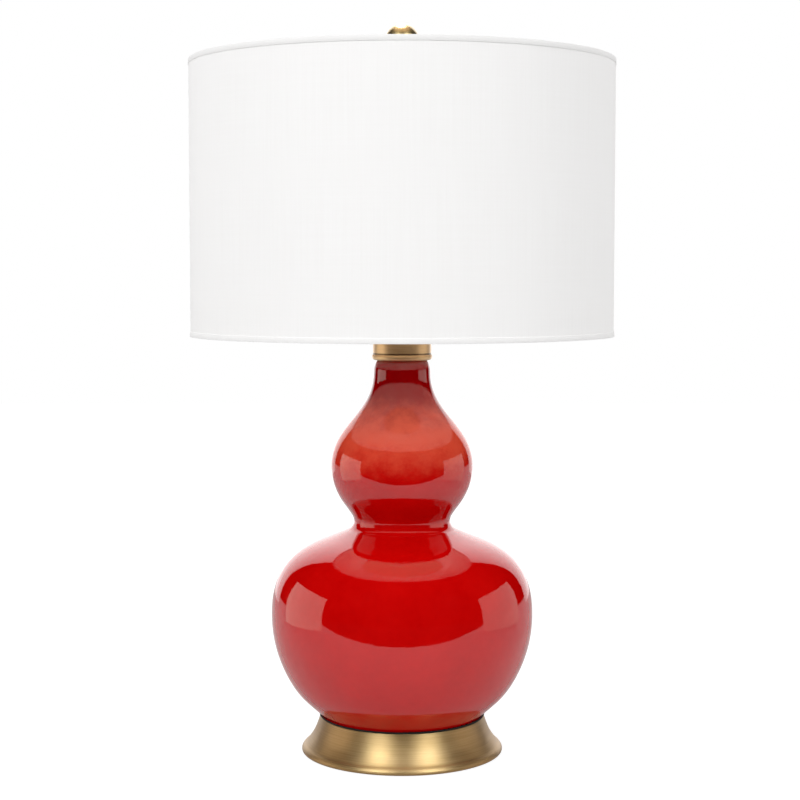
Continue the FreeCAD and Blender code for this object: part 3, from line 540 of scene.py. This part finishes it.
zinc_plate = finish(
    "zinc_plated_steel", MOTTLE, (0.42, 0.43, 0.45), (0.66, 0.66, 0.68), (0.28, 0.46),
    (0.10, 0.0001), {"Blotches": 90.0, "Grain": 1400.0}, Metallic=1.0,
)
wear(zinc_plate, "base_plate")
turned_steel = finish(
    "turned_steel", RING_MARKS, (0.40, 0.40, 0.42), (0.68, 0.68, 0.70), (0.24, 0.40),
    (0.30, 0.0001), {"Rings": 1600.0}, Metallic=1.0,
)
wear(turned_steel, "base_washer", "base_lock_nut", "threaded_rod", "cap_nut")
sand_cast = finish(
    "sand_cast_iron", MOTTLE, (0.035, 0.035, 0.04), (0.10, 0.10, 0.11), (0.55, 0.80),
    (0.60, 0.0005), {"Blotches": 120.0, "Grain": 1100.0}, Metallic=0.6,
)
wear(sand_cast, "base_weight")
black_rubber = finish(
    "black_rubber", MOTTLE, (0.006, 0.006, 0.006), (0.016, 0.015, 0.015), (0.65, 0.85),
    (0.25, 0.0001), {"Blotches": 70.0},
)
GASKET_STEPS = 160
# The gasket under the gourd is real; its bulge out over the foot's edge is a black band put where
# the gap between gourd and lip lies in shade.
GASKET_OUTLINE = (
    (64.4, 33.0), (78.0, 33.0), (78.3, 34.6), (79.3, 35.7), (80.3, 35.9), (80.7, 36.6),
    (80.4, 37.4), (79.6, 37.2), (78.6, 36.75), (64.4, 36.75), (64.4, 33.0),
)
gasket = spun_shell("gasket_with_shadow_bulge", GASKET_OUTLINE, GASKET_STEPS, black_rubber)
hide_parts("base_gasket")
moulded_black = finish(
    "moulded_black", MOTTLE, (0.012, 0.010, 0.010), (0.028, 0.025, 0.024), (0.22, 0.36),
    (0.12, 0.0001), {"Blotches": 60.0, "Grain": 700.0},
)
wear(moulded_black, "cord_bushing")
green_felt = finish(
    "green_felt", MOTTLE, (0.012, 0.040, 0.020), (0.035, 0.095, 0.050), (0.92, 1.0),
    (0.9, 0.0006), {"Blotches": 260.0, "Grain": 2600.0, "Fineness": 0.6},
    Sheen_Weight=0.6, Sheen_Roughness=0.5, Specular_IOR_Level=0.2,
)
FELT_RADIUS, FELT_ROUNDING = 0.095, 0.0004
felt = softened_copy("felt_disc", "felt_pad", FELT_ROUNDING, "stand", green_felt)

# ------------------------------------------------------------------ gourd
# A slip-cast earthenware bottle, dipped in a thick clear red glaze; painted shade darkens the neck
# and painted warm light lightens the globe. It stands on the gasket; a wooden plug in its neck
# centres the rod.
NECK_SHADE_FROM, NECK_SHADE_TO = 0.314, 0.356  # painted shade, darkest round the neck under the shade
GLOBE_LIGHT_FROM, GLOBE_LIGHT_TO = 0.268, 0.312  # and painted warm light, strongest over the globe
BAND_WANDER = 0.05  # how far the edges of the painted bands wander up and down
NECK_SHADE_RED = (0.33, 0.0, 0.0008, 1)
GLOBE_LIT_RED = (0.68, 0.070, 0.034, 1)
red_glaze = finish(
    "poured_red_glaze", MOTTLE, (0.455, 0.0002, 0.0004), (0.54, 0.0014, 0.0010), (0.03, 0.065),
    (0.05, 0.0006), {"Blotches": 26.0, "Grain": 150.0, "Fineness": 0.30}, IOR=1.7,
)
tree = red_glaze.node_tree
shader = tree.nodes["Principled BSDF"]
poured = shader.inputs["Base Color"].links[0].from_socket
place = node(tree, "TexCoord").outputs["Object"]
height = node(tree, "SeparateXYZ", {0: place}).outputs["Z"]
# Noise that makes the edges of the painted shade and the painted light wander.
runs = node(
    tree, "TexNoise", {"Vector": place, "Scale": BAND_WANDER_SCALE, "Detail": 5.0, "Roughness": 0.7}
).outputs[0]
uneven = sums(
    tree, "MULTIPLY_ADD", runs, BAND_WANDER, sums(tree, "SUBTRACT", height, BAND_WANDER / 2)
)
globe_light = node(
    tree, "MapRange", {0: uneven, 1: GLOBE_LIGHT_FROM, 2: GLOBE_LIGHT_TO}, interpolation_type="SMOOTHSTEP"
).outputs[0]
neck_shade = node(
    tree, "MapRange", {0: uneven, 1: NECK_SHADE_FROM, 2: NECK_SHADE_TO},
    interpolation_type="SMOOTHSTEP",
).outputs[0]
# Painted light: the globe's red is lightened and warmed as if lit from above.
lit_globe = node(
    tree, "Mix", {"Factor": globe_light, 6: poured, 7: GLOBE_LIT_RED}, data_type="RGBA"
).outputs[2]
# Painted shade: the neck's red is darkened where the lampshade shadows it.
shaded_neck = node(
    tree, "Mix", {"Factor": neck_shade, 6: lit_globe, 7: NECK_SHADE_RED}, data_type="RGBA"
).outputs[2]
link(tree, shaded_neck, shader.inputs["Base Color"])
wear(red_glaze, "gourd_body")
turned_wood = finish(
    "turned_wood", RING_MARKS, (0.24, 0.13, 0.06), (0.46, 0.30, 0.17), (0.55, 0.75),
    (0.4, 0.0002), {"Rings": 600.0, "Spread": 4.0},
)
wear(turned_wood, "neck_plug")

# ------------------------------------------------------------------ neck cap
# A turned brass cap with a bead at its foot, clamped on the neck by a nut on the rod.
# Painted light: the cap's brass is painted lighter than the skirt's, standing in for brighter
# reflections.
cap_brass = finish(
    "cap_brass_painted_lighter", RING_MARKS, (0.62, 0.39, 0.185), (0.80, 0.55, 0.29), (0.36, 0.46),
    (0.16, 0.0001), {"Rings": 1500.0, "Patina": 0.20}, Metallic=1.0, Anisotropic=0.5,
    Anisotropic_Rotation=0.25, Coat_Weight=0.4, Coat_Roughness=0.35, Coat_IOR=1.5,
)
tree = cap_brass.node_tree
shader = tree.nodes["Principled BSDF"]
brushed = shader.inputs["Base Color"].links[0].from_socket
CREASE_HEIGHT, CREASE_REACH = 0.3893, 0.0011  # painted shadow in the crease above the bead
CREASE_CORE, CREASE_SHARE = 0.0003, 0.85
CREASE_SHADE_BROWN = (0.06, 0.03, 0.012, 1)
height = node(tree, "SeparateXYZ", {0: node(tree, "TexCoord").outputs["Object"]}).outputs["Z"]
away = sums(tree, "ABSOLUTE", sums(tree, "SUBTRACT", height, CREASE_HEIGHT))
# Painted shade: the brass is darkened in a thin band in the crease above the bead.
crease_shade = node(
    tree, "MapRange", {0: away, 1: CREASE_CORE, 2: CREASE_REACH, 3: CREASE_SHARE, 4: 0.0}
).outputs[0]
creased = node(
    tree, "Mix", {"Factor": crease_shade, 6: brushed, 7: CREASE_SHADE_BROWN}, data_type="RGBA"
).outputs[2]
link(tree, creased, shader.inputs["Base Color"])
wear(cap_brass, "vase_cap")

# ------------------------------------------------------------------ harp
# A saddle plate under the socket, two sliding ferrules, and a bent wire that carries the
# shade on its swivelling stud.
bent_brass = finish(
    "drawn_brass_wire", MOTTLE, (0.50, 0.35, 0.16), (0.72, 0.54, 0.29), (0.22, 0.38),
    (0.12, 0.0001), {"Blotches": 110.0, "Grain": 1500.0}, Metallic=1.0,
)
wear(bent_brass, "harp_saddle", "harp_wire", "ferrule_left", "ferrule_right", "harp_stud")

# ------------------------------------------------------------------ socket
# A brass cap and shell over a card liner, around a moulded core with its screw shell,
# contact and terminals. A rotary switch comes out through the front of the cap.
socket_brass = finish(
    "pressed_brass", RING_MARKS, (0.54, 0.38, 0.17), (0.78, 0.60, 0.33), (0.18, 0.30),
    (0.15, 0.0001), {"Rings": 1400.0, "Patina": 0.6}, Metallic=1.0,
)
wear(socket_brass, "socket_cap", "socket_shell", "centre_contact", "terminal_screws",
     "switch_stem")
wear(zinc_plate, "socket_set_screw")
wear(moulded_black, "socket_core", "switch_knob")
brown_card = finish(
    "insulating_card", MOTTLE, (0.25, 0.16, 0.09), (0.42, 0.30, 0.19), (0.80, 0.95),
    (0.4, 0.0001), {"Blotches": 200.0, "Grain": 2500.0},
)
wear(brown_card, "socket_liner")
rolled_aluminium = finish(
    "rolled_aluminium", RING_MARKS, (0.62, 0.62, 0.63), (0.86, 0.86, 0.87), (0.20, 0.34),
    (0.25, 0.0001), {"Rings": 1500.0}, Metallic=1.0,
)
wear(rolled_aluminium, "screw_shell")

# ------------------------------------------------------------------ bulb
# A frosted glass bulb crimped to an aluminium screw cap, with a black glass insulator and
# a soldered tip.
wear(rolled_aluminium, "bulb_cap")
wear(moulded_black, "bulb_insulator")
soft_solder = finish(
    "soft_solder", MOTTLE, (0.40, 0.40, 0.41), (0.62, 0.62, 0.62), (0.35, 0.55),
    (0.4, 0.0002), {"Blotches": 500.0, "Grain": 2000.0}, Metallic=1.0,
)
wear(soft_solder, "bulb_tip")
frosted_glass = finish(
    "frosted_glass", MOTTLE, (0.86, 0.86, 0.84), (0.95, 0.95, 0.93), (0.30, 0.42),
    (0.08, 0.0001), {"Blotches": 90.0, "Grain": 3000.0}, Subsurface_Weight=0.3,
    Subsurface_Scale=0.01,
)
wear(frosted_glass, "bulb_glass")

# ------------------------------------------------------------------ shade
# White linen laminated to a styrene drum, lapped and glued at the rear, with a hem tape
# folded over each edge. A steel spider and a bottom ring hold it round.
SLUB_FINE, SLUB_LONG = 700.0, 9.0  # noise scales across and along a thick thread


def weave_group():
    """Plain weave around a drum, with thicker threads here and there."""
    tree, inputs, out = effect_group("linen_weave", Threads=1500.0, Slubs=0.5)
    place, direction, radius, height = around_axis(tree)
    parts = node(tree, "SeparateXYZ", {0: place}).outputs
    turn = sums(tree, "ARCTAN2", parts["X"], sums(tree, "MULTIPLY", parts["Y"], -1.0))
    along = sums(tree, "MULTIPLY", turn, radius)
    thread = sums(tree, "MULTIPLY", inputs["Threads"], 2 * math.pi)
    warp = sums(tree, "SINE", sums(tree, "MULTIPLY", along, thread))
    weft = sums(tree, "SINE", sums(tree, "MULTIPLY", height, thread))
    relief = sums(tree, "ABSOLUTE", sums(tree, "MULTIPLY", warp, weft))
    masks = []
    for across, up in ((SLUB_FINE, SLUB_LONG), (SLUB_LONG, SLUB_FINE)):
        where = node(
            tree, "CombineXYZ",
            {0: sums(tree, "MULTIPLY", along, across), 1: sums(tree, "MULTIPLY", height, up)},
        ).outputs[0]
        masks.append(node(
            tree, "TexNoise", {"Vector": where, "Scale": 1.0, "Detail": 2.0}
        ).outputs[0])
    mask = node(
        tree, "Mix", {"Factor": inputs["Slubs"], "A": masks[0], "B": masks[1]}
    ).outputs["Result"]
    link(tree, mask, out.inputs["Mask"])
    link(tree, sums(tree, "ADD", relief, mask), out.inputs["Height"])
    return tree


LINEN_WEAVE = weave_group()
white_linen = finish(
    "white_linen", LINEN_WEAVE, (0.93, 0.922, 0.916), (0.955, 0.95, 0.946), (0.85, 0.98),
    (0.10, 0.0001), {"Slubs": 0.35}, Sheen_Weight=0.15, Specular_IOR_Level=0.2,
)
# Painted shade: the hem tape is a little darker than the linen, to tone down its lit edges.
hem_tape = finish(
    "linen_hem_tape", LINEN_WEAVE, (0.87, 0.863, 0.857), (0.90, 0.896, 0.892), (0.85, 0.98),
    (0.18, 0.0001), {"Threads": 1300.0, "Slubs": 0.6}, Sheen_Weight=0.15,
    Specular_IOR_Level=0.2,
)
CLOTH_THICKNESS = 0.0005
LAP_INSET = 0.001
HEM_ROUNDING = 0.00012
CLOTH_SEGMENTS = 256
LAP_SEGMENTS = 3
shade_low, shade_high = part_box("shade_fabric")
cloth_radius = shade_high[0]
cloth_height = shade_high[2] - shade_low[2]


def cloth_wall(name, radius, height, keep=None):
    """An open wall of cloth around the drum, or the part of it that keep picks."""
    clear_selection()
    bpy.ops.mesh.primitive_cylinder_add(
        vertices=CLOTH_SEGMENTS, radius=radius, depth=height, end_fill_type="NOTHING",
        location=(0, 0, (shade_low[2] + shade_high[2]) / 2),
        rotation=(0, 0, math.pi / CLOTH_SEGMENTS),
    )
    wall = bpy.context.object
    wall.name = name
    settle(wall)
    bpy.context.view_layer.objects.active = wall
    bpy.ops.object.mode_set(mode="EDIT")
    bpy.ops.mesh.select_all(action="DESELECT")
    bpy.ops.object.mode_set(mode="OBJECT")
    if keep:
        for face in wall.data.polygons:
            face.select = not keep(face.center)
        bpy.ops.object.mode_set(mode="EDIT")
        bpy.ops.mesh.select_mode(type="FACE")
        bpy.ops.mesh.delete(type="FACE")
        bpy.ops.object.mode_set(mode="OBJECT")
    shell = wall.modifiers.new("thickness", "SOLIDIFY")
    shell.thickness = CLOTH_THICKNESS
    shell.offset = -1
    bpy.ops.object.modifier_apply(modifier=shell.name)
    bpy.ops.object.shade_smooth_by_angle(angle=CLOTH_EDGE)
    wall.data.materials.append(white_linen)
    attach(wall, "shade")
    return wall


cloth = cloth_wall("shade_cloth", cloth_radius, cloth_height)
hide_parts("shade_fabric")
lap_reach = LAP_SEGMENTS * math.pi * cloth_radius / CLOTH_SEGMENTS
lap = cloth_wall(
    "shade_lap", cloth_radius + CLOTH_THICKNESS, cloth_height - LAP_INSET,
    lambda place: place.y > 0 and abs(place.x) < lap_reach,
)
hems = [
    softened_copy(
        f"{end}_hem", f"{end}_trim", HEM_ROUNDING, "shade", hem_tape
    )
    for end in ("top", "bottom")
]
white_styrene = finish(
    "white_styrene", MOTTLE, (0.80, 0.79, 0.77), (0.84, 0.83, 0.81), (0.40, 0.55),
    (0.06, 0.0001), {"Blotches": 25.0, "Grain": 500.0},
)
wear(white_styrene, "shade_liner")
wear(zinc_plate, "shade_spider", "bottom_ring")

# ------------------------------------------------------------------ finial
# A turned brass knob, waxed, with a threaded insert that screws onto the stud.
waxed_brass = finish(
    "waxed_finial_brass", RING_MARKS, (0.56, 0.38, 0.16), (0.72, 0.53, 0.25), (0.28, 0.38),
    (0.12, 0.0001), {"Rings": 1300.0, "Patina": 0.5}, Metallic=1.0, Coat_Weight=0.8,
    Coat_Roughness=0.25, Coat_IOR=1.5,
)
wear(waxed_brass, "finial_ball", "finial_insert")
